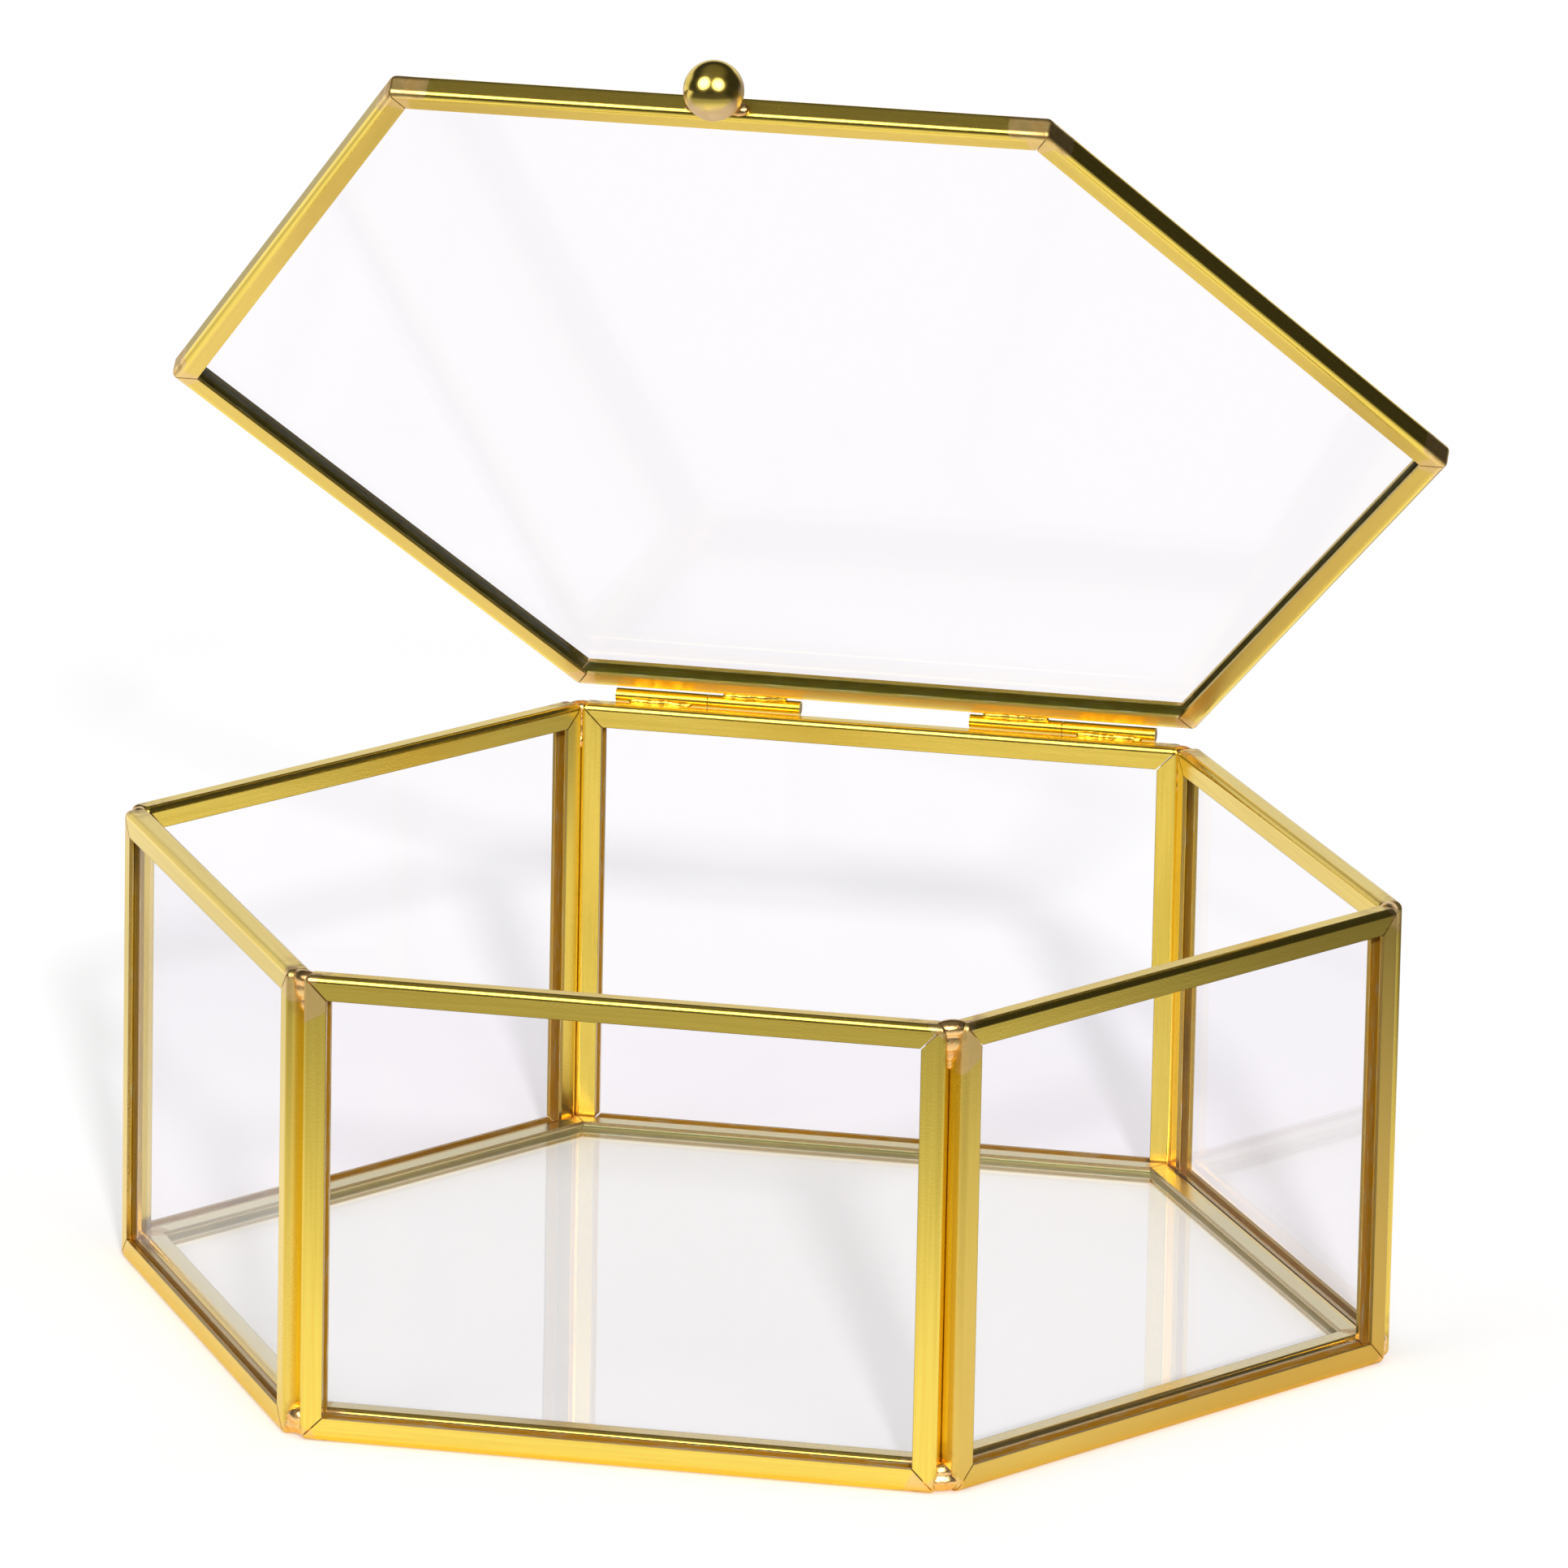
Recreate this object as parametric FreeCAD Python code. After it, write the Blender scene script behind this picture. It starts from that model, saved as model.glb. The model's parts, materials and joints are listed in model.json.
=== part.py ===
import FreeCAD, Part
import math
import os

# Hexagonal keepsake box: six glass walls, a glass base and a glass lid. Each pane is edged with
# a folded brass channel. The edged panels are soldered at the corners, and the lid turns on two
# tube hinges at the back and is lifted by a ball knob at the front.
# Millimetres and degrees. +Z is up, the front wall faces -Y, and the walls stand on Z = 0.

# Hexagon and walls
side_count = 6
wall_width = 85.5
wall_height = 63.0
corner_gap = 0.02

# Glass and the channel folded round it
glass_thickness = 2.0
glass_play = 0.1
pane_edge_play = 0.3
strip_gauge = 0.6
flange_width = 3.2
fold_radius = 0.9
corner_bend_radius = 1.0
mitre_slit = 0.18

# Base, and the beads that fix it to the walls from below
base_fit = 0.15
base_lift = 0.2
base_bead_radius = 0.35
base_bead_length = 14.0
base_bead_height = 0.5

# Lid
lid_inset = 0.4
lid_rest_gap = 0.9
lid_open_angle = 44.0

# Tube hinges
knuckle_diameter = 2.0
knuckle_length = 13.1
knuckle_gap = 0.15
hinge_pin_diameter = 1.2
pin_play = 0.05
hinge_setback = 0.9
hinge_rise = 0.6
hinge_end_inset = 4.3
knuckle_solder_radius = 0.8
knuckle_solder_length = 9.5

# Ball knob and the collar of solder that holds it
ball_diameter = 8.0
ball_seat_sink = 0.4
collar_foot_radius = 3.6
collar_top_radius = 2.2
collar_height = 1.2

# Solder in the grooves between walls: a crown drawn out to a tip, and a short plug at the foot
solder_reach = 0.9
solder_radius = 2.0
solder_rounding = 0.4
crown_length = 5.5
crown_tip_radius = 0.5
crown_proud = 0.25
plug_length = 3.2
plug_top_radius = 1.0
plug_lift = 0.25

# Every cut runs past the solid by this much
overrun = 5.0

# Sizes that follow from the ones above
half_turn = 180.0
side_angle = 2 * half_turn / side_count
half_side = math.radians(side_angle / 2)
front_angle = -half_turn / 2
channel_depth = glass_thickness + 2 * (glass_play + strip_gauge)
fold_relief = fold_radius * (math.cos(half_side) + math.sin(half_side) - 1)
corner_overlap = (fold_relief - corner_gap / 2) / math.cos(half_side)
wall_radius = (wall_width / 2 - corner_overlap) / math.sin(half_side)
wall_apothem = wall_radius * math.cos(half_side)
outer_apothem = wall_apothem + channel_depth
fold_meeting = wall_width / 2 - fold_radius
groove_radius = fold_meeting * math.sin(half_side) + (wall_apothem + fold_radius) * math.cos(half_side)
groove_apothem = groove_radius * math.cos(half_side)
base_apothem = wall_apothem - base_fit
lid_apothem = outer_apothem - lid_inset
lid_floor = wall_height + lid_rest_gap
hinge_y = outer_apothem + hinge_setback
hinge_z = wall_height + hinge_rise
knuckle_radius = knuckle_diameter / 2
pin_radius = hinge_pin_diameter / 2
ball_radius = ball_diameter / 2
x_axis = FreeCAD.Vector(1, 0, 0)
y_axis = FreeCAD.Vector(0, 1, 0)
z_axis = FreeCAD.Vector(0, 0, 1)

# Walls and corners in turn, anticlockwise from the front as seen from above
wall_names = ["front", "front_right", "back_right", "back", "back_left", "front_left"]
corner_names = ["front_right", "right", "back_right", "back_left", "left", "front_left"]


def prism(points, low, high):
    """An upright prism over a flat outline, from one height to another."""
    corners = [FreeCAD.Vector(x, y, low) for x, y in points]
    outline = Part.makePolygon(corners + corners[:1])
    return Part.Face(outline).extrude(z_axis * (high - low))


def along_x(radius, length, middle):
    """A round bar lying along X, centred on a point."""
    start = middle - x_axis * (length / 2)
    return Part.makeCylinder(radius, length, start, x_axis)


def largest(shape):
    """The one solid that matters of a cut that may leave crumbs."""
    return max(shape.Solids, key=lambda solid: solid.Volume)


def wall_outline(inset):
    """Corners of a wall panel lying flat, drawn in by an inset on every side."""
    half = wall_width / 2 - inset
    top = wall_height - inset
    return [(-half, inset), (half, inset), (half, top), (-half, top)]


def hexagon_outline(apothem):
    """A function that gives the corners of a hexagon, drawn in by an inset on every side."""
    def outline(inset):
        radius = (apothem - inset) / math.cos(half_side)
        turns = [math.radians(front_angle + side_angle * step) + half_side for step in range(side_count)]
        return [(radius * math.cos(turn), radius * math.sin(turn)) for turn in turns]
    return outline


def slit(outline, corner, start_inset):
    """The narrow cut along a corner's mitre, from one inset to past the window."""
    x0, y0 = outline(start_inset)[corner]
    x1, y1 = outline(flange_width + strip_gauge)[corner]
    length = math.hypot(x1 - x0, y1 - y0)
    side_x = (y0 - y1) / length * mitre_slit / 2
    side_y = (x1 - x0) / length * mitre_slit / 2
    near = [(x0 + side_x, y0 + side_y), (x0 - side_x, y0 - side_y)]
    far = [(x1 - side_x, y1 - side_y), (x1 + side_x, y1 + side_y)]
    return prism(near + far, -overrun, channel_depth + overrun)


def block(outline):
    """The solid that a panel's edging is cut from, with bent corners and rims rounded by the fold."""
    body = prism(outline(0), 0, channel_depth)
    uprights = [edge for edge in body.Edges if edge.BoundBox.ZLength > channel_depth / 2]
    body = body.makeFillet(corner_bend_radius, uprights)
    rims = [edge for edge in body.Edges if edge.BoundBox.ZLength < channel_depth / 2]
    return body.makeFillet(fold_radius, rims)


def edging(outline, closing_corner):
    """A strip of U channel folded round a pane and mitred, its two ends meeting at one corner."""
    groove = prism(outline(strip_gauge), strip_gauge, channel_depth - strip_gauge)
    window = prism(outline(flange_width), -overrun, channel_depth + overrun)
    slits = [slit(outline, corner, strip_gauge) for corner in range(len(outline(0)))]
    slits.append(slit(outline, closing_corner, -strip_gauge))
    return largest(block(outline).cut([groove, window] + slits))


def pane(outline):
    """The glass that sits in a channel, with play at its faces and its edges."""
    face = strip_gauge + glass_play
    return prism(outline(strip_gauge + pane_edge_play), face, face + glass_thickness)


def stood_up(shape, wall):
    """A flat panel stood upright as one of the walls, its upper face turned outward."""
    turn = math.radians(front_angle + side_angle * wall)
    out = FreeCAD.Vector(math.cos(turn), math.sin(turn), 0)
    along = z_axis.cross(out)
    foot = out * wall_apothem
    placed = shape.copy()
    placed.Placement = FreeCAD.Placement(FreeCAD.Matrix(
        along.x, 0, out.x, foot.x,
        along.y, 0, out.y, foot.y,
        0, 1, 0, 0,
    ))
    return placed


def raised(shape, height):
    """A flat panel lifted to its height."""
    return shape.translated(z_axis * height)


def groove_solder(corner, wide_height, tip_radius, rise, neighbours):
    """Solder run into the outer groove between two walls, wide at one end and narrower along the groove."""
    turn = math.radians(front_angle + side_angle * corner) + half_side
    reach = wall_radius + solder_reach
    wide_end = FreeCAD.Vector(reach * math.cos(turn), reach * math.sin(turn), wide_height)
    run = Part.makeCone(solder_radius, tip_radius, abs(rise), wide_end, z_axis * rise)
    rims = [edge for edge in run.Edges if edge.isClosed()]
    return largest(run.makeFillet(solder_rounding, rims).cut(neighbours))


def base_bead(wall, neighbours):
    """A bead of solder in the seam between the base and one wall, seen only from below."""
    middle = FreeCAD.Vector(0, base_fit / 2 - wall_apothem, base_bead_height)
    bead = along_x(base_bead_radius, base_bead_length, middle)
    bead.rotate(FreeCAD.Vector(), z_axis, side_angle * wall)
    return largest(bead.cut(neighbours))


def knuckle(middle):
    """One tube of a hinge."""
    tube = along_x(knuckle_radius, knuckle_length, middle)
    return tube.cut(along_x(pin_radius + pin_play, knuckle_length + overrun, middle))


def opened(shape):
    """A piece of the lid swung up from its closed place to the angle it stands at."""
    swung = shape.copy()
    swung.rotate(FreeCAD.Vector(0, hinge_y, hinge_z), x_axis, -lid_open_angle)
    return swung


parts = {}

# Walls: the same edged pane six times
flat_edging = edging(wall_outline, 0)
flat_pane = pane(wall_outline)
walls = []
for wall, name in enumerate(wall_names):
    walls.append(stood_up(flat_edging, wall))
    parts[name + "_edging"] = walls[wall]
    parts[name + "_pane"] = stood_up(flat_pane, wall)

# Base: an edged hexagon between the walls
base_outline = hexagon_outline(base_apothem)
back_corner = corner_names.index("back_left")
parts["base_edging"] = raised(edging(base_outline, back_corner), base_lift)
parts["base_pane"] = raised(pane(base_outline), base_lift)
beads = [base_bead(wall, [walls[wall], parts["base_edging"]]) for wall in range(side_count)]
parts["base_solder"] = Part.makeCompound(beads)

# Corner solder: a crown at the top and a plug at the foot of each groove
flat_block = block(wall_outline)
wall_blocks = [stood_up(flat_block, wall) for wall in range(side_count)]
inside = prism(hexagon_outline(groove_apothem)(0), -overrun, wall_height + overrun)
for corner, name in enumerate(corner_names):
    neighbours = [wall_blocks[corner], wall_blocks[(corner + 1) % side_count], inside]
    crown_top = wall_height + crown_proud
    crown = groove_solder(corner, crown_top, crown_tip_radius, -crown_length, neighbours)
    plug = groove_solder(corner, plug_lift, plug_top_radius, plug_length, neighbours)
    parts[name + "_corner_solder"] = Part.makeCompound([crown, plug])

# Lid: an edged hexagon, modelled closed and then swung open
lid_outline = hexagon_outline(lid_apothem)
lid_edging = raised(edging(lid_outline, back_corner), lid_floor)
lid_pieces = {"lid_edging": lid_edging, "lid_pane": raised(pane(lid_outline), lid_floor)}

# Ball knob: a ball with a small flat, soldered to the front edge of the lid
lid_middle = lid_floor + channel_depth / 2
seat = FreeCAD.Vector(0, -lid_apothem, lid_middle)
ball = Part.makeSphere(ball_radius, seat - y_axis * (ball_radius - ball_seat_sink))
behind_seat = Part.makeBox(ball_diameter, ball_diameter, ball_diameter)
behind_seat.translate(seat - FreeCAD.Vector(ball_radius, 0, ball_radius))
lid_pieces["knob_ball"] = ball.cut(behind_seat)
collar = Part.makeCone(collar_foot_radius, collar_top_radius, collar_height, seat, -y_axis)
rail = Part.makeBox(2 * collar_foot_radius, 2 * collar_height, channel_depth - 2 * fold_radius)
rail.translate(seat - FreeCAD.Vector(collar_foot_radius, collar_height, channel_depth / 2 - fold_radius))
lid_pieces["knob_solder"] = Part.makeCompound(collar.common(rail).cut(ball).Solids)

# Tube hinges: on each side an outer tube on the back wall, an inner tube on the lid, and their pin
back_wall = walls[wall_names.index("back")]
for side, name in ((-1, "left"), (1, "right")):
    outer_end = wall_width / 2 - hinge_end_inset
    box_middle = FreeCAD.Vector(side * (outer_end - knuckle_length / 2), hinge_y, hinge_z)
    lid_middle_x = side * (outer_end - knuckle_length * 3 / 2 - knuckle_gap)
    lid_tube_middle = FreeCAD.Vector(lid_middle_x, hinge_y, hinge_z)
    box_tube = knuckle(box_middle)
    lid_tube = knuckle(lid_tube_middle)
    pin_length = 2 * knuckle_length + knuckle_gap
    parts[name + "_box_knuckle"] = box_tube
    lid_pieces[name + "_lid_knuckle"] = lid_tube
    parts[name + "_hinge_pin"] = along_x(pin_radius, pin_length, (box_middle + lid_tube_middle) / 2)

    # Solder along the seam of each tube: under the box's tube, and in front of the lid's
    box_seam = FreeCAD.Vector(box_middle.x, outer_apothem, wall_height)
    box_bar = along_x(knuckle_radius, knuckle_length + overrun, box_middle)
    box_solder = along_x(knuckle_solder_radius, knuckle_solder_length, box_seam)
    parts[name + "_box_knuckle_solder"] = Part.makeCompound(box_solder.cut([box_bar, back_wall]).Solids)
    seam_y = (hinge_y - knuckle_radius + lid_apothem) / 2
    lid_seam = FreeCAD.Vector(lid_middle_x, seam_y, hinge_z + knuckle_radius / 2)
    lid_bar = along_x(knuckle_radius, knuckle_length + overrun, lid_tube_middle)
    lid_solder = along_x(knuckle_solder_radius, knuckle_solder_length, lid_seam)
    lid_pieces[name + "_lid_knuckle_solder"] = Part.makeCompound(lid_solder.cut([lid_bar, lid_edging]).Solids)

for name, piece in lid_pieces.items():
    parts[name] = opened(piece)

os.makedirs("parts", exist_ok=True)
for name, shape in parts.items():
    shape.exportStep("parts/" + name + ".step")
    solids = len(shape.Solids)
    print(f"{name}: {solids} solid(s), {shape.Volume:.1f} mm3, valid {shape.isValid()}")
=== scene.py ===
import json
import math
import random

import bmesh
import bpy
from mathutils import Matrix, Vector


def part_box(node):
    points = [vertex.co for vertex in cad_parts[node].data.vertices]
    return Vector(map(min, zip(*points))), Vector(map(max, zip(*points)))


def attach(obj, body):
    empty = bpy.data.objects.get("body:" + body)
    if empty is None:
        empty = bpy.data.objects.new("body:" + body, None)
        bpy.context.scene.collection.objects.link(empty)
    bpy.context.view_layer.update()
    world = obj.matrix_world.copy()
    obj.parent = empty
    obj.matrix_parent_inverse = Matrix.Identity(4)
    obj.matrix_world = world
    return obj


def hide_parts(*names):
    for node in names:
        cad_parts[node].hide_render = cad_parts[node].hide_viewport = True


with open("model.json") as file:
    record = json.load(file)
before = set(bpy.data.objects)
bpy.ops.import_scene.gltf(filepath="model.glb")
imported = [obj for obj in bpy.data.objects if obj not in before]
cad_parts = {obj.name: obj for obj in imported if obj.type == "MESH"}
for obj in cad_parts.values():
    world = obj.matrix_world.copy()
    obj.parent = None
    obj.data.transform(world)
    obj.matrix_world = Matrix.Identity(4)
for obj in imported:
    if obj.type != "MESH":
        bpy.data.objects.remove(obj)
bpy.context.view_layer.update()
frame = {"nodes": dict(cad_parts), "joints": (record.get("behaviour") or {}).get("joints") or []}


# Panes: eight plates of clear 2 mm float glass, for the walls, the base and the lid.
# They are cut a little smaller than the channels round them, which hold them by the edges.
# The glass is all but colourless, dark green at its cut rim, and carries a few wiping smears.
class Wire:
    """A shader socket. Sums and products of wires and numbers add the Math nodes they need."""

    def __init__(self, socket):
        self.socket = socket

    def add(self, kind, settings=None, sockets=None, output=0):
        """A node of any kind in this wire's tree: its settings first, then its sockets' values or links."""
        tree = self.socket.id_data
        node = tree.nodes.new(kind)
        for name, value in (settings or {}).items():
            setattr(node, name, value)
        for name, value in (sockets or {}).items():
            if isinstance(value, Wire):
                tree.links.new(value.socket, node.inputs[name])
            else:
                node.inputs[name].default_value = value
        return Wire(node.outputs[output]) if node.outputs else None

    def beside(self, output):
        """Another output of the node that this wire comes from."""
        return Wire(self.socket.node.outputs[output])

    def maths(self, operation, *others):
        return self.add("ShaderNodeMath", {"operation": operation}, dict(enumerate((self, *others))))

    def __add__(self, other):
        return self.maths("ADD", other)

    __radd__ = __add__

    def __sub__(self, other):
        return self.maths("SUBTRACT", other)

    def __rsub__(self, other):
        return self.add("ShaderNodeMath", {"operation": "SUBTRACT"}, {0: other, 1: self})

    def __mul__(self, other):
        return self.maths("MULTIPLY", other)

    __rmul__ = __mul__

    def __truediv__(self, other):
        return self.maths("DIVIDE", other)

    def __abs__(self):
        return self.maths("ABSOLUTE")

    def least(self, other):
        return self.maths("MINIMUM", other)

    def most(self, other):
        return self.maths("MAXIMUM", other)

    def below(self, other):
        return self.maths("LESS_THAN", other)

    def above(self, other):
        return self.maths("GREATER_THAN", other)

    def rise(self, start, end):
        """0 before start and 1 after end, eased between them. A start past the end makes it fall."""
        ramp = {"Value": self, "From Min": start, "From Max": end}
        return self.add("ShaderNodeMapRange", {"interpolation_type": "SMOOTHSTEP"}, ramp)

    def vector_maths(self, operation, other):
        return self.add("ShaderNodeVectorMath", {"operation": operation}, {0: self, 1: other})

    def along(self, direction):
        """How far this point lies in a direction."""
        return self.vector_maths("DOT_PRODUCT", direction).beside("Value")

    def stretched(self, scales):
        return self.vector_maths("MULTIPLY", scales)

    def scaled(self, factor):
        """This colour times a number."""
        return self.add("ShaderNodeVectorMath", {"operation": "SCALE"}, {0: self, "Scale": factor})

    def noise(self, scale, detail=2.0, distortion=0.0):
        """Soft noise at this point, from 0 to 1."""
        sockets = {"Vector": self, "Scale": scale, "Detail": detail, "Distortion": distortion}
        return self.add("ShaderNodeTexNoise", {}, sockets, "Fac")

    def tint(self, first, second):
        """The first colour where this wire is 0 and the second where it is 1."""
        ends = [end if isinstance(end, Wire) else (*end, 1.0) for end in (first, second)]
        return self.add("ShaderNodeMix", {"data_type": "RGBA"}, {0: self, 6: ends[0], 7: ends[1]}, 2)

    def bump(self, strength, distance):
        return self.add("ShaderNodeBump", {}, {"Strength": strength, "Distance": distance, "Height": self})


mm_in_metre = 1000


def new_material(name):
    """An empty material, and a wire that holds each point's place in the frame, in millimetres."""
    material = bpy.data.materials.new(name)
    material.use_nodes = True
    material.node_tree.nodes.clear()
    place = Wire(material.node_tree.nodes.new("ShaderNodeTexCoord").outputs["Object"])
    return material, place.stretched((mm_in_metre, mm_in_metre, mm_in_metre))


def dress(node_name, material):
    """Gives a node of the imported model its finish."""
    slots = frame["nodes"][node_name].data.materials
    slots.clear()
    slots.append(material)


lid_glass_tint = (0.955, 0.938, 0.965)
wall_glass_tint = (0.965, 0.951, 0.975)
base_glass_tint = (0.990, 0.996, 0.980)
smear_tint = (0.99, 0.99, 0.99)
smear_stretch = (1.0, 1.0, 0.45)
smear_scale = 0.035
smear_detail = 4.0
smear_distortion = 1.5
smear_range = (0.5, 0.85)
glass_rim_tint = (0.22, 0.42, 0.30)
glass_rim_range = (0.5, 0.2)
glass_index = 1.18
roll_scale = 0.02
roll_strength = 0.05
roll_height = 0.001


def glass_pane(name, through, glass_tint):
    """Clear glass for a pane whose faces look in one direction. It bends light less than real glass, so
    that it mirrors as little as the panes in the photograph do."""
    material, place = new_material(name)
    smear = place.stretched(smear_stretch).noise(smear_scale, smear_detail, smear_distortion)
    smear = smear.rise(*smear_range)
    facing = place.add("ShaderNodeTexCoord", {}, {}, "Normal").along(through)
    rim = abs(facing).rise(*glass_rim_range)
    smeared_tint = [part * smear_part for part, smear_part in zip(glass_tint, smear_tint)]
    clear = place.add("ShaderNodeBsdfPrincipled", {}, {
        "Base Color": rim.tint(smear.tint(glass_tint, smeared_tint), glass_rim_tint),
        "Roughness": 0.0,
        "IOR": glass_index,
        "Transmission Weight": 1.0,
        "Normal": place.noise(roll_scale, 0.0).bump(roll_strength, roll_height),
    })
    shadow_ray = place.add("ShaderNodeLightPath", {}, {}, "Is Shadow Ray")
    diffuse_ray = shadow_ray.beside("Is Diffuse Ray")
    face_tint = [math.sqrt(part) for part in glass_tint]
    unbent = place.add("ShaderNodeBsdfTransparent", {}, {"Color": (*face_tint, 1.0)})
    surface = place.add("ShaderNodeMixShader", {}, {0: diffuse_ray, 1: clear, 2: unbent})
    surface = place.add("ShaderNodeMixShader", {}, {0: shadow_ray, 1: surface, 2: unbent})
    place.add("ShaderNodeOutputMaterial", {}, {"Surface": surface})
    return material


wall_headings = {
    "front": -90,
    "front_right": -30,
    "back_right": 30,
    "back": 90,
    "back_left": 150,
    "front_left": 210,
}
for wall, heading in wall_headings.items():
    turn = math.radians(heading)
    outward = (math.cos(turn), math.sin(turn), 0)
    dress(f"{wall}_pane", glass_pane(f"{wall}_glass", outward, wall_glass_tint))
dress("base_pane", glass_pane("base_glass", (0, 0, 1), base_glass_tint))

hinge = frame["joints"][0]
hinge_point = mm_in_metre * Vector(hinge["pos_m"])
opened = math.radians(-hinge["range_deg"][0])
lid_forward = Vector((0, -math.cos(opened), math.sin(opened)))
lid_upright = Vector((0, math.sin(opened), math.cos(opened)))
dress("lid_pane", glass_pane("lid_glass", lid_upright, lid_glass_tint))


# Edgings: strips of thin bright brass folded into a channel round each pane, with the corners
# notched, bent and closed in a mitre. The strip keeps fine lines from being drawn, and soldering
# leaves tan ends, brown in the grooves and a pale film round the base. Some walls take a darker,
# duller brown tone outside, deepening towards the foot, and so do the lid's flanges. A painted
# shade line runs along the flanges' edges by the glass, and the slot carries painted shade and
# painted reflection of brass.
half_side = math.radians(30)
heat_tan_least = 2.0
heat_tan_slant = 0.6
web_tan_length = 5.0
flange_tan_length = 2.6
web_range = (0.8, 0.5)
flange_range = (0.8, 1.2)
lid_tone = 0.55
base_tone = 1.0
wall_tan_and_tone = {
    "front": ((6.5, 1.5, 2.5, 4.5), (0.0, 0.0)),
    "front_right": ((6.5, 3.0, 1.5, 2.5), (0.6, 1.5)),
    "back_right": ((4.0, 5.0, 3.0, 1.5), (0.3, 0.3)),
    "back": ((5.5, 2.0, 4.0, 3.0), (0.0, 0.0)),
    "back_left": ((1.5, 6.0, 2.5, 4.5), (0.2, 0.2)),
    "front_left": ((5.0, 4.0, 3.0, 4.0), (0.3, 0.3)),
}


def rectangle_strip(place, heading, width, height, middle, tan_lengths, tones):
    """Where a point lies on a wall's edging: its distance from the nearest corner along the strip, its
    place along the strip, its depth in from the outer edge and through the panel, how far the tan of
    soldering reaches there and how strongly the strip takes a darker tone. The tan is given outside the
    box, for the posts at the top on the left and right, and for the rails at the foot on the left and
    right. The darker tone is given for the left and right, lies outside the box away from the top rail,
    and deepens towards the foot."""
    angle = math.radians(heading)
    across = place.along((-math.sin(angle), math.cos(angle), 0))
    through = place.along((math.cos(angle), math.sin(angle), 0)) - middle
    up = place.along((0, 0, 1)) - height / 2
    from_side = width / 2 - abs(across)
    from_rail = height / 2 - abs(up)
    rail = from_rail.below(from_side)
    run = up + rail * (across - up)
    right = across.above(0)
    top = up.above(0)
    outside = through.above(0)
    top_left, top_right, foot_left, foot_right = tan_lengths
    foot_length = foot_left + right * (foot_right - foot_left)
    length = foot_length + top * (top_left + right * (top_right - top_left) - foot_length)
    tan_length = (heat_tan_least + abs(rail - top) * (length - heat_tan_least)) * outside
    tone = tones[0] + across.rise(-width / 3, width / 3) * (tones[1] - tones[0])
    toned = (1 - rail * top) * outside * (1 - up / height) * tone
    from_end = from_side.most(from_rail)
    inward = from_side.least(from_rail)
    return from_end, run, inward, through, tan_length, toned


def hexagon_strip(place, middle, forward, upright, apothem, tone):
    """The same for the base's or the lid's edging, whose six sides lie round a middle point. Its tan
    reaches furthest on the web, the strip's outer edge."""
    offset = place.vector_maths("SUBTRACT", middle)
    x = abs(offset.along((1, 0, 0)))
    y = abs(offset.along(forward))
    slant = x * math.cos(half_side) + y * math.sin(half_side)
    slant_run = y * math.cos(half_side) - x * math.sin(half_side)
    level = y.above(slant)
    run = slant_run + level * (x - slant_run)
    from_end = apothem * math.tan(half_side) - abs(run)
    inward = apothem - y.most(slant)
    through = offset.along(upright)
    flange_tan = inward * heat_tan_slant + flange_tan_length
    tan_length = flange_tan + inward.rise(*web_range) * (web_tan_length - flange_tan)
    toned = inward.rise(*flange_range) * tone
    return from_end, run, inward, through, tan_length, toned


noise_middle = 0.5
rich_detail = 3.0
brass_colour = (0.98, 0.73, 0.13)
streak_colour = (0.92, 0.67, 0.11)
streak_range = (0.35, 0.7)
streak_scale = 2.2
fine_scale = 9.0
grain_scale = 3.5
grain_stretch = 0.02
drift_scale = 0.03
heat_tan_colour = (0.95, 0.66, 0.27)
heat_tan_strength = 0.85
heat_tan_wander = 3
heat_tan_blur = 0.25
heat_tan_evenness = 0.75
heat_tan_speck = 0.4
speck_scale = 1.4
heat_brown_colour = (0.38, 0.19, 0.05)
heat_brown_strength = 0.6
heat_brown_length = 8.0
heat_brown_full = 2.0
heat_brown_scale = 0.5
heat_brown_range = (0.35, 0.7)
groove_range = (0.55, 0.2)
# A painted shade line along each flange's edge beside the glass.
lip_shade_colour = (0.34, 0.21, 0.06)
lip_shade_strength = 0.8
lip_shade_range = (3.08, 3.18)
slot_width_range = (1.3, 1.15)
slot_floor_range = (0.45, 0.58)
# Painted glints of the glass rim, seen in the slot.
glint_colour = (0.66, 0.76, 0.52)
glint_range = (0.58, 0.70)
strip_roughness = 0.17
grain_roughness = 0.06
tan_roughness = 0.1
brown_roughness = 0.12
slot_roughness = 0.1
streak_relief = 0.4
fine_relief = 0.2
grain_relief = 1.6
strip_relief = 0.12
strip_relief_height = 0.00003


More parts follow.
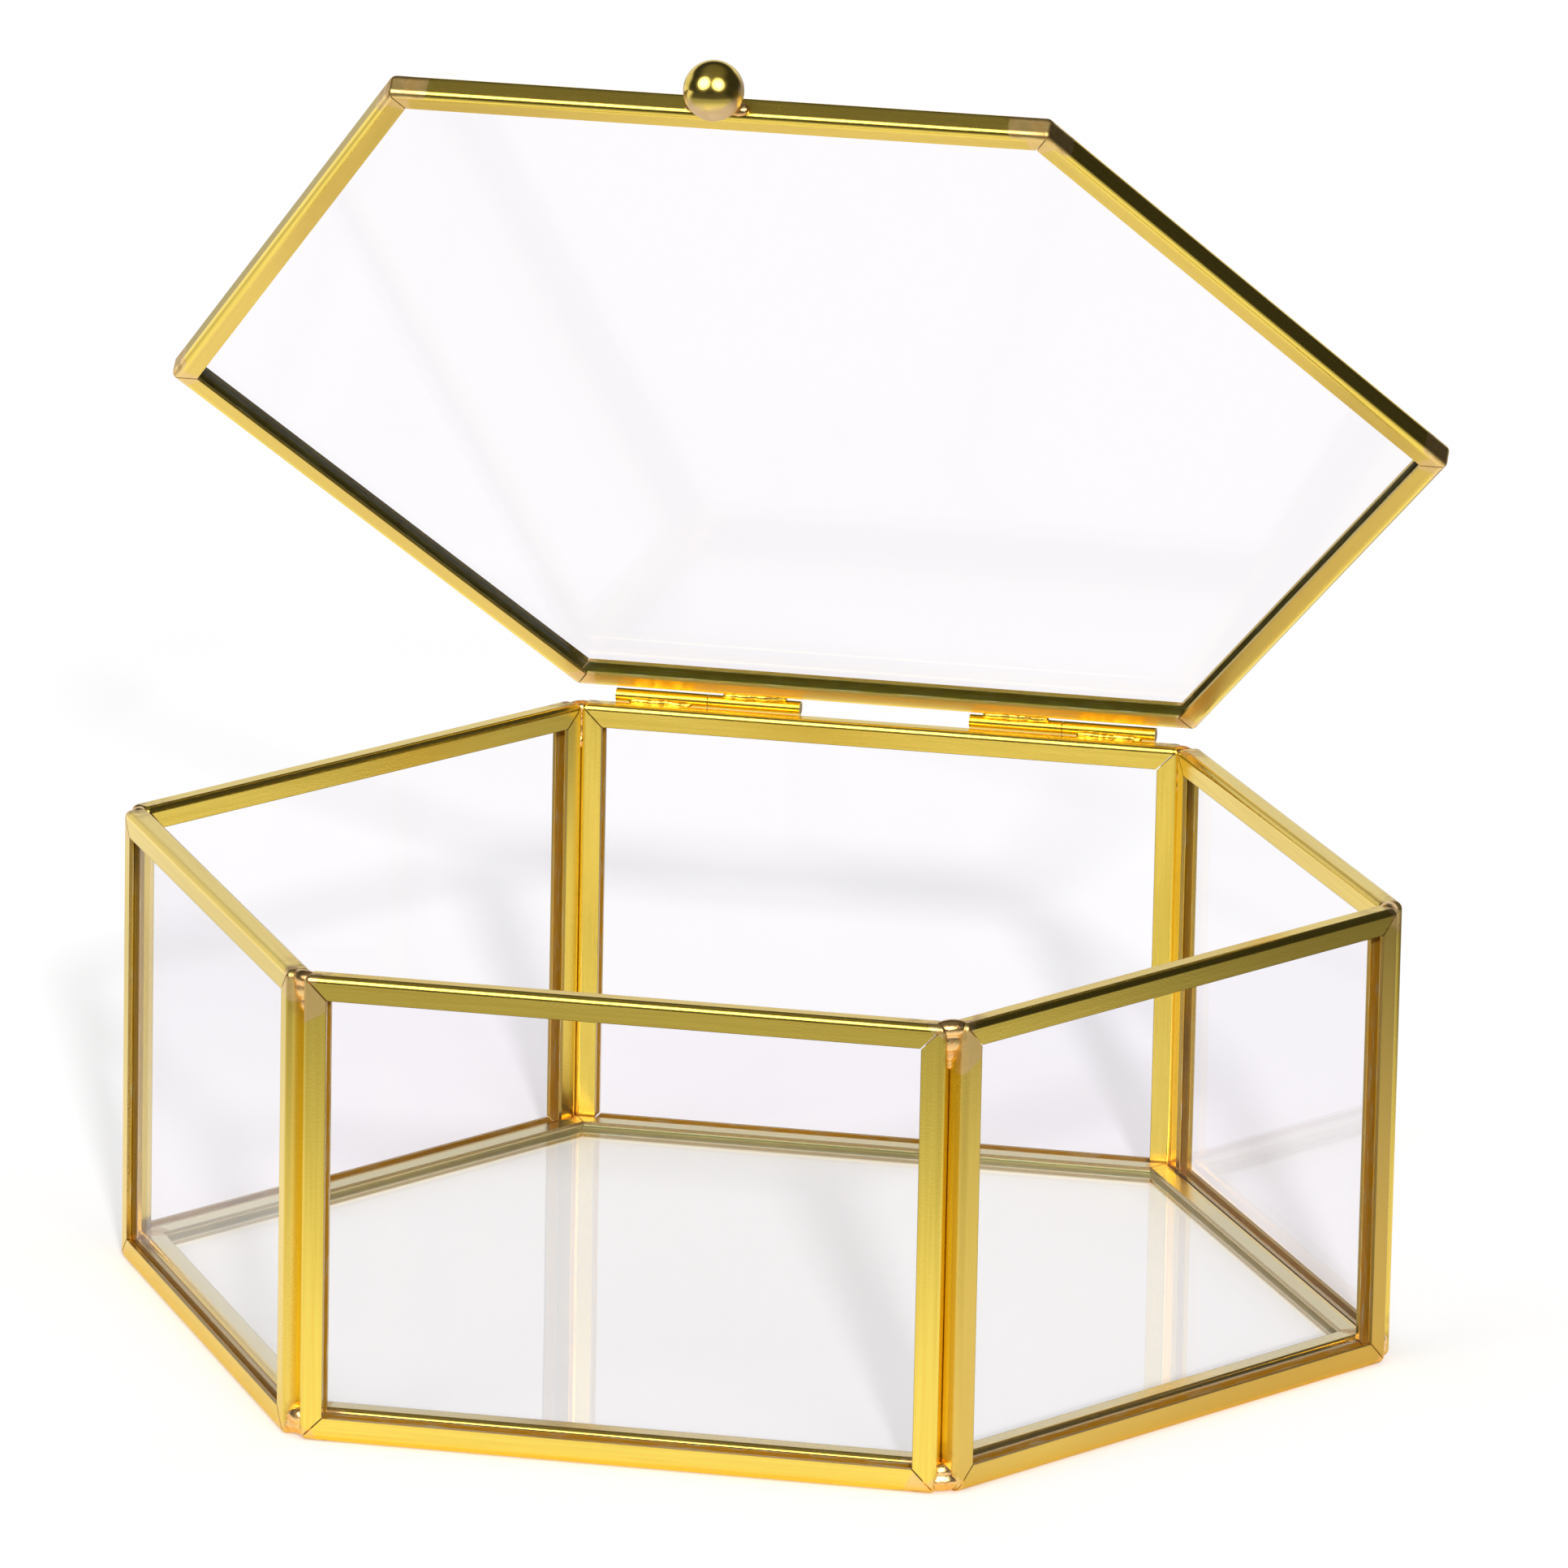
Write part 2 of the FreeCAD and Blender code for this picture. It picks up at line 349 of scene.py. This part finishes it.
def brass_strip(name, slot_shade_and_reflection_colour, inside_metal, tone_colour, tone_roughness, strip_of):
    """Bright drawn strip, with the marks of soldering at its ends, a painted shade line along the edges of
    its flanges, and a duller finish inside its slot, which carries painted shade and painted reflection of
    brass flecked with painted glints of the glass rim.
    """
    material, place = new_material(name)
    from_end, run, inward, through, tan_length, toned = strip_of(place)
    lines = place.add("ShaderNodeCombineXYZ", {}, {0: run * grain_stretch, 1: inward, 2: through})
    streak = lines.noise(streak_scale, rich_detail)
    fine = lines.noise(fine_scale)
    grain = place.noise(grain_scale)
    drift = place.noise(drift_scale)
    speck = place.noise(speck_scale, rich_detail)
    tan_edge = tan_length + (drift - noise_middle) * heat_tan_wander - inward * heat_tan_slant
    tan = (from_end - tan_edge).rise(heat_tan_blur, -heat_tan_blur)
    tan = tan * (heat_tan_evenness + speck * heat_tan_speck)
    groove = inward.rise(*groove_range) * from_end.rise(heat_brown_length, heat_brown_full)
    brown = groove * place.noise(heat_brown_scale).rise(*heat_brown_range)
    # Inside the slot the brass colour gives way to painted shade and painted reflection of brass.
    slot_shade = abs(through).rise(*slot_width_range) * inward.rise(*slot_floor_range)
    # Painted shade line along the flange's edge by the glass.
    lip_shade = inward.rise(*lip_shade_range)
    colour = streak.rise(*streak_range).tint(brass_colour, streak_colour)
    colour = (toned * (1 - noise_middle + drift)).tint(colour, tone_colour)
    colour = (tan * heat_tan_strength).tint(colour, heat_tan_colour)
    colour = (brown * heat_brown_strength).tint(colour, heat_brown_colour)
    colour = (lip_shade * lip_shade_strength).tint(colour, lip_shade_colour)
    colour = slot_shade.tint(colour, fine.rise(*glint_range).tint(slot_shade_and_reflection_colour, glint_colour))
    roughness = strip_roughness + grain * grain_roughness + tan * tan_roughness
    roughness = roughness + brown * brown_roughness + slot_shade * slot_roughness + toned * tone_roughness
    relief = streak * streak_relief + fine * fine_relief + grain * grain_relief
    surface = place.add("ShaderNodeBsdfPrincipled", {}, {
        "Base Color": colour,
        "Metallic": 1 - slot_shade * (1 - inside_metal),
        "Roughness": roughness,
        "Normal": relief.bump(strip_relief, strip_relief_height),
    })
    place.add("ShaderNodeOutputMaterial", {}, {"Surface": surface})
    return material


# A darker, duller brown tone on the walls' outsides, deepening towards the foot, and on the lid's flanges.
brown_tone_colour = (0.80, 0.55, 0.13)
brown_tone_roughness = 0.2
# Painted shade and painted reflection of brass inside the walls' slots.
wall_slot_shade_and_reflection_colour = (0.68, 0.35, 0.015)
wall_inside_metal = 0.5
front_low, front_high = (mm_in_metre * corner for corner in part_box("front_edging"))
wall_width = front_high.x - front_low.x
wall_height = front_high.z - front_low.z
wall_middle = -(front_low.y + front_high.y) / 2
for wall, heading in wall_headings.items():
    wall_shape = (heading, wall_width, wall_height, wall_middle)
    strip = brass_strip(
        f"{wall}_brass_strip",
        wall_slot_shade_and_reflection_colour,
        wall_inside_metal,
        brown_tone_colour,
        brown_tone_roughness,
        lambda place: rectangle_strip(place, *wall_shape, *wall_tan_and_tone[wall]),
    )
    dress(f"{wall}_edging", strip)

pale_film_colour = (0.96, 0.86, 0.50)
pale_film_roughness = 0.06
# Painted shade inside the base's slot.
base_slot_shade_colour = (0.80, 0.66, 0.34)
base_low, base_high = (mm_in_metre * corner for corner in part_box("base_edging"))
base_middle = (base_low + base_high) / 2
base_strip = brass_strip(
    "base_brass_strip",
    base_slot_shade_colour,
    wall_inside_metal,
    pale_film_colour,
    pale_film_roughness,
    lambda place: hexagon_strip(place, base_middle, (0, -1, 0), (0, 0, 1), base_high.y, base_tone),
)
dress("base_edging", base_strip)

# Painted shade of the gap inside the lid's slot.
lid_slot_shade_colour = (0.42, 0.36, 0.09)
lid_inside_metal = 1.0
lid_apothem = mm_in_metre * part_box("lid_edging")[1].x * math.cos(half_side)
lid_glass_points = frame["nodes"]["lid_pane"].data.vertices
lid_levels = [(mm_in_metre * point.co - hinge_point).dot(lid_upright) for point in lid_glass_points]
lid_level = (min(lid_levels) + max(lid_levels)) / 2
lid_middle = hinge_point + lid_forward * hinge_point.y + lid_upright * lid_level
lid_strip = brass_strip(
    "lid_brass_strip",
    lid_slot_shade_colour,
    lid_inside_metal,
    brown_tone_colour,
    brown_tone_roughness,
    lambda place: hexagon_strip(place, lid_middle, lid_forward, lid_upright, lid_apothem, lid_tone),
)
dress("lid_edging", lid_strip)


# Corner solders: brass-coloured solder melted into each groove between two walls, as a crown that
# runs down from the top and a plug at the foot. It set shiny and lumpy, pinkish gold, with specks
# of burnt flux. Under the base, straight beads hold the base to the walls.
solder_colour = (0.98, 0.64, 0.26)
solder_copper_colour = (0.92, 0.50, 0.18)
solder_flux_colour = (0.20, 0.09, 0.03)
copper_range = (0.42, 0.68)
flux_range = (0.70, 0.78)
flux_strength = 0.9
patch_scale = 0.9
patch_distortion = 0.6
flux_scale = 2.6
solder_relief_scale = 1.3
solder_relief = 0.25
solder_relief_height = 0.0003
solder_roughness = 0.20
patch_roughness = 0.12
flux_roughness = 0.3


def set_solder(name, bright, copper):
    """Solder as it set, from one colour to a second in patches, with specks of burnt flux."""
    material, place = new_material(name)
    patch = place.noise(patch_scale, rich_detail, patch_distortion)
    flux = place.noise(flux_scale, rich_detail).rise(*flux_range)
    colour = patch.rise(*copper_range).tint(bright, copper)
    surface = place.add("ShaderNodeBsdfPrincipled", {}, {
        "Base Color": (flux * flux_strength).tint(colour, solder_flux_colour),
        "Metallic": 1.0,
        "Roughness": solder_roughness + patch * patch_roughness + flux * flux_roughness,
        "Normal": place.noise(solder_relief_scale).bump(solder_relief, solder_relief_height),
    })
    place.add("ShaderNodeOutputMaterial", {}, {"Surface": surface})
    return material


melting_seed = 5
melting = random.Random(melting_seed)
drop_wander = 0.12
drop_swell = 0.12
drop_roundness = 3
melt_size = 0.14
melt_rounds = 6


def melted_solder(node_name, body, finish, runs):
    """Solder that stands for a node. Each run is a place with its own axes, and the drops that melt
    together there, each with its middle and its half sizes along those axes."""
    shape = bmesh.new()
    for run_axes, drops in runs:
        for middle, half_sizes in drops:
            wander = Vector([melting.uniform(-drop_wander, drop_wander) for _ in middle])
            swell = melting.uniform(1 - drop_swell, 1 + drop_swell)
            swollen = Matrix.Diagonal((*(half * swell for half in half_sizes), 1.0))
            drop = run_axes @ Matrix.Translation(Vector(middle) + wander) @ swollen
            bmesh.ops.create_icosphere(shape, subdivisions=drop_roundness, radius=1.0, matrix=drop)
    mesh = bpy.data.meshes.new(node_name)
    shape.to_mesh(mesh)
    shape.free()
    lump = bpy.data.objects.new(f"{node_name}_lump", mesh)
    bpy.context.scene.collection.objects.link(lump)
    melt = lump.modifiers.new("melt", "REMESH")
    melt.mode = "VOXEL"
    melt.voxel_size = melt_size
    melt.use_smooth_shade = True
    settle = lump.modifiers.new("settle", "SMOOTH")
    settle.iterations = melt_rounds
    settled = lump.evaluated_get(bpy.context.evaluated_depsgraph_get())
    melted = bpy.data.meshes.new_from_object(settled)
    melted.transform(Matrix.Scale(1 / mm_in_metre, 4))
    melted.materials.append(finish)
    lump.modifiers.clear()
    lump.data = melted
    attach(lump, body)
    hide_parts(node_name)


def with_axes(origin, across, outward, upward):
    """A place given by its origin and its own axes."""
    axes = Matrix((across, outward, upward)).transposed()
    return Matrix.Translation(origin) @ axes.to_4x4()


crown_drops = [
    ((0, 1.60, -0.85), (2.40, 1.30, 1.10)),
    ((0, 1.55, -2.30), (1.85, 1.10, 1.70)),
    ((0, 1.30, -4.00), (1.15, 0.90, 1.60)),
    ((0, 1.00, -5.50), (0.50, 0.70, 1.00)),
]
plug_drops = [
    ((0, 1.75, 1.45), (2.80, 1.50, 1.25)),
    ((0, 1.80, 2.45), (2.10, 1.40, 1.55)),
]
corner_headings = {
    "front_right": -60,
    "right": 0,
    "back_right": 60,
    "back_left": 120,
    "left": 180,
    "front_left": 240,
}
corner_solder = set_solder("corner_solder", solder_colour, solder_copper_colour)
groove_radius = mm_in_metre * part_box("right_corner_solder")[0].x
upward = Vector((0, 0, 1))
for corner, heading in corner_headings.items():
    turn = math.radians(heading)
    outward = Vector((math.cos(turn), math.sin(turn), 0))
    foot = with_axes(outward * groove_radius, outward.cross(upward), outward, upward)
    top = Matrix.Translation(upward * front_high.z) @ foot
    melted_solder(f"{corner}_corner_solder", "box", corner_solder, [(top, crown_drops), (foot, plug_drops)])
dress("base_solder", corner_solder)


# Hinges: four short brass tubes in two pairs along the back, each pair on a wire pin. The outer
# tube of a pair is soldered to the back wall's top and the inner one to the lid's back edge.
tube_colour = (0.98, 0.66, 0.05)
tube_line_stretch = (0.03, 1.0, 1.0)
tube_line_scale = 3.0
tube_line_range = (0.35, 0.75)
tube_roughness = 0.15
tube_relief = 0.3
tube_relief_height = 0.00003
pin_line_stretch = (0.05, 1.0, 1.0)
pin_line_scale = 5.0
pin_roughness = 0.25
pin_relief = 0.2
pin_relief_height = 0.00002
line_roughness = 0.1

tube, place = new_material("brass_tube")
lines = place.stretched(tube_line_stretch).noise(tube_line_scale, rich_detail)
surface = place.add("ShaderNodeBsdfPrincipled", {}, {
    "Base Color": lines.rise(*tube_line_range).tint(tube_colour, streak_colour),
    "Metallic": 1.0,
    "Roughness": tube_roughness + lines * line_roughness,
    "Normal": lines.bump(tube_relief, tube_relief_height),
})
place.add("ShaderNodeOutputMaterial", {}, {"Surface": surface})

pin, place = new_material("drawn_brass_wire")
lines = place.stretched(pin_line_stretch).noise(pin_line_scale)
surface = place.add("ShaderNodeBsdfPrincipled", {}, {
    "Base Color": lines.tint(streak_colour, heat_brown_colour),
    "Metallic": 1.0,
    "Roughness": pin_roughness + lines * line_roughness,
    "Normal": lines.bump(pin_relief, pin_relief_height),
})
place.add("ShaderNodeOutputMaterial", {}, {"Surface": surface})

hinge_solder_colour = (0.98, 0.68, 0.10)
hinge_copper_colour = (0.90, 0.52, 0.07)
seam_drop_count = 15
seam_drop_halves = (1.6, 0.62, 0.58)
lid_seam_forward = 1.15
lid_seam_rise = 0.5
right_way = Vector((1, 0, 0))
back_way = Vector((0, 1, 0))
hinge_solder = set_solder("hinge_solder", hinge_solder_colour, hinge_copper_colour)
box_seam = with_axes(Vector((0, -front_low.y, front_high.z)), right_way, back_way, upward)
lid_seam_middle = hinge_point + lid_forward * lid_seam_forward + lid_upright * lid_seam_rise
lid_seam = with_axes(lid_seam_middle, right_way, -lid_forward, lid_upright)
for side in ("left", "right"):
    dress(f"{side}_box_knuckle", tube)
    dress(f"{side}_lid_knuckle", tube)
    dress(f"{side}_hinge_pin", pin)
    for body, seam in (("box", box_seam), ("lid", lid_seam)):
        node = f"{side}_{body}_knuckle_solder"
        low, high = (mm_in_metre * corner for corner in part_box(node))
        ends = (low.x + seam_drop_halves[0], high.x - seam_drop_halves[0])
        step = (ends[1] - ends[0]) / (seam_drop_count - 1)
        drops = [((ends[0] + step * count, 0, 0), seam_drop_halves) for count in range(seam_drop_count)]
        melted_solder(node, body, hinge_solder, [(seam, drops)])


# Knob: a polished brass ball soldered to the middle of the lid's front edge. Solder has crept up
# the ball from its seat as a dull pinkish skin, and stands in lumps to the left and right of it.
ball_colour = (0.93, 0.70, 0.15)
ball_skin_colour = (0.82, 0.58, 0.34)
ball_wear_scale = 0.35
ball_wear_range = (0.4, 0.75)
ball_skin_scale = 0.6
ball_skin_wander = 0.5
ball_skin_range = (-0.55, -0.2)
ball_skin_strength = 0.85
ball_grain_scale = 4.0
ball_grain_least = 0.3
ball_relief = 0.15
ball_relief_height = 0.0001
ball_roughness = 0.15
wear_roughness = 0.06
skin_roughness = 0.22
knob_drops = [
    ((-2.9, 0.25, -0.3), (1.40, 0.60, 1.00)),
    ((2.9, 0.30, -0.4), (1.50, 0.75, 1.05)),
    ((-0.8, 0.30, -1.0), (1.50, 0.60, 0.50)),
    ((0.9, 0.30, -1.0), (1.50, 0.60, 0.50)),
]

ball_low, ball_high = (mm_in_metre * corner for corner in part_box("knob_ball"))
ball_middle = (ball_low + ball_high) / 2
ball_radius = (ball_high.x - ball_low.x) / 2

ball, place = new_material("polished_brass_ball")
worn = place.noise(ball_wear_scale, rich_detail)
seatward = place.vector_maths("SUBTRACT", ball_middle).along(-lid_forward) / ball_radius
skin = seatward + (place.noise(ball_skin_scale, rich_detail) - noise_middle) * ball_skin_wander
skin = skin.rise(*ball_skin_range)
colour = worn.rise(*ball_wear_range).tint(ball_colour, streak_colour)
ball_grain = place.noise(ball_grain_scale) * (ball_grain_least + skin)
surface = place.add("ShaderNodeBsdfPrincipled", {}, {
    "Base Color": (skin * ball_skin_strength).tint(colour, ball_skin_colour),
    "Metallic": 1.0,
    "Roughness": ball_roughness + worn * wear_roughness + skin * skin_roughness,
    "Normal": ball_grain.bump(ball_relief, ball_relief_height),
})
place.add("ShaderNodeOutputMaterial", {}, {"Surface": surface})
dress("knob_ball", ball)

lid_edge = hinge_point + lid_forward * (hinge_point.y + lid_apothem)
seat_rise = (ball_middle - hinge_point).dot(lid_upright)
seat = with_axes(lid_edge + lid_upright * seat_rise, right_way, lid_forward, lid_upright)
melted_solder("knob_solder", "lid", corner_solder, [(seat, knob_drops)])


# Studio: a white floor and a white backdrop behind and to the left, in a dark room, with two soft
# lamps in front and a flash that casts the shadow. In what the metal mirrors, the floor carries painted
# shade, darker away from the box and towards the back right, and is warm close to its walls, where they
# light it.
floor_white = 0.9
floor_glow = 0.32
floor_half = 3.0
floor_drop = 0.0002
fade_range = (120, 320)
fade_level = 0.38
far_range = (380, 520)
far_level = 0.2
back_right_shade_direction = (0.6, 0.8, 0)
back_right_shade_range = (158, 198)
back_right_shade_level = 0.42
backdrop_heading = (-0.42, 0.907, 0)
sweep_range = (60, 330)
contact_colour = (0.92, 0.80, 0.44)
contact_reach = 7
contact_inside_range = (-6, -3)

floor_mesh = bpy.data.meshes.new("floor")
floor_corners = [(-1, -1), (1, -1), (1, 1), (-1, 1)]
floor_points = [(floor_half * x, floor_half * y, -floor_drop) for x, y in floor_corners]
floor_mesh.from_pydata(floor_points, [], [(0, 1, 2, 3)])
floor = bpy.data.objects.new("floor", floor_mesh)
bpy.context.scene.collection.objects.link(floor)

floor_finish, place = new_material("white_floor")
camera_ray = place.add("ShaderNodeLightPath", {}, {}, "Is Camera Ray")
glossy_ray = camera_ray.beside("Is Glossy Ray")
through_ray = camera_ray.beside("Is Transmission Ray")
mirrored_ray = camera_ray.beside("Glossy Depth").least(1)
from_box = place.add("ShaderNodeVectorMath", {"operation": "LENGTH"}, {0: place}, "Value")
fade = 1 - from_box.rise(*fade_range) * (1 - fade_level)
fade = fade * (1 - from_box.rise(*far_range) * (1 - far_level))
# Painted shade on the floor towards the back right, seen only in what the metal mirrors.
back_right_shade = 1 - place.along(back_right_shade_direction).rise(*back_right_shade_range) * (1 - back_right_shade_level)
sweep = place.along(backdrop_heading).rise(*sweep_range)
fade = fade + sweep * (1 - fade)
shade = 1 - mirrored_ray * (1 - fade * back_right_shade)
across = abs(place.along((1, 0, 0)))
deep = abs(place.along((0, 1, 0)))
from_wall = deep.most(across * math.cos(half_side) + deep * math.sin(half_side)) + front_low.y
contact = from_wall.rise(contact_reach, 0) * from_wall.rise(*contact_inside_range) * mirrored_ray
white = contact.tint((1, 1, 1), contact_colour).scaled(shade)
sheet = place.add("ShaderNodeBsdfDiffuse", {}, {"Color": white.scaled(floor_white)})
seen = camera_ray.most(glossy_ray).most(through_ray)
glow = place.add("ShaderNodeEmission", {}, {"Color": white.scaled(seen * floor_glow)})
sheet = place.add("ShaderNodeAddShader", {}, {0: sheet, 1: glow})
place.add("ShaderNodeOutputMaterial", {}, {"Surface": sheet})
floor_mesh.materials.append(floor_finish)

room_level = 0.04
ceiling_level = 0.14
ceiling_range = (0.7, 0.95)
backdrop_side_range = (0.42, 0.68)
backdrop_top_range = (0.50, 0.34)
ambient_level = 0.62
lamp_spread = 0.45
lamp_forward = 0.70
lamp_rise = 0.55
lamp_glare = 7.0
lamp_glare_range = (0.90, 0.985)
lamp_ways = [Vector((side * lamp_spread, -lamp_forward, lamp_rise)).normalized() for side in (-1, 1)]

world = bpy.data.worlds.new("studio")
bpy.context.scene.world = world
world.use_nodes = True
world.node_tree.nodes.clear()
direction = Wire(world.node_tree.nodes.new("ShaderNodeTexCoord").outputs["Generated"])
camera_ray = direction.add("ShaderNodeLightPath", {}, {}, "Is Camera Ray")
through_ray = camera_ray.beside("Is Transmission Ray")
diffuse_ray = camera_ray.beside("Is Diffuse Ray")
mirrored_ray = camera_ray.beside("Glossy Depth").least(1) * (1 - diffuse_ray)
height = direction.along((0, 0, 1))
backdrop = direction.along(backdrop_heading).rise(*backdrop_side_range) * height.rise(*backdrop_top_range)
room = room_level + height.rise(*ceiling_range) * ceiling_level
mirrored = room + backdrop * (1 - room)
for way in lamp_ways:
    mirrored = mirrored + direction.along(way).rise(*lamp_glare_range) * lamp_glare
white = camera_ray.most(through_ray)
level = ambient_level + white * (1 - ambient_level)
level = level + mirrored_ray * (mirrored - level)
background = direction.add("ShaderNodeBackground", {}, {"Strength": level})
direction.add("ShaderNodeOutputWorld", {}, {"Surface": background})

lamp_angle = math.radians(30)
lamp_strength = 0.3
flash_way = Vector((0.305, -0.873, 0.383))
flash_angle = math.radians(4)
flash_strength = 1.6
lamps = [("soft_lamp", way, lamp_angle, lamp_strength) for way in lamp_ways]
lamps.append(("flash", flash_way, flash_angle, flash_strength))
for name, way, angle, strength in lamps:
    lamp = bpy.data.lights.new(name, "SUN")
    lamp.angle = angle
    lamp.energy = strength
    stand = bpy.data.objects.new(name, lamp)
    stand.visible_camera = False
    stand.visible_glossy = False
    bpy.context.scene.collection.objects.link(stand)
    stand.location = way
    stand.rotation_euler = way.to_track_quat("Z", "Y").to_euler()


# Camera: the photograph's view, from far off with a long lens, a little right of the front and
# a little above the box.
view_heading = math.radians(12.79)
view_rise = math.radians(14.52)
view_roll = math.radians(1.11)
view_distance = 1.941
view_middle = Vector((0.00336, 0.0, 0.07317))
sensor_width = 36.0
lens_pixels = 17856
image_pixels = 1932

back = Vector((
    math.sin(view_heading) * math.cos(view_rise),
    -math.cos(view_heading) * math.cos(view_rise),
    math.sin(view_rise),
))
level_right = Vector((math.cos(view_heading), math.sin(view_heading), 0))
level_up = back.cross(level_right)
right = level_right * math.cos(view_roll) + level_up * math.sin(view_roll)
up = level_up * math.cos(view_roll) - level_right * math.sin(view_roll)
turn = Matrix((right, up, back)).transposed()
camera_lens = bpy.data.cameras.new("camera")
camera_lens.sensor_width = sensor_width
camera_lens.lens = lens_pixels / image_pixels * sensor_width
camera = bpy.data.objects.new("camera", camera_lens)
camera.matrix_world = Matrix.Translation(view_middle + back * view_distance) @ turn.to_4x4()
bpy.context.scene.collection.objects.link(camera)
bpy.context.scene.camera = camera
bpy.context.scene.view_settings.view_transform = "Standard"
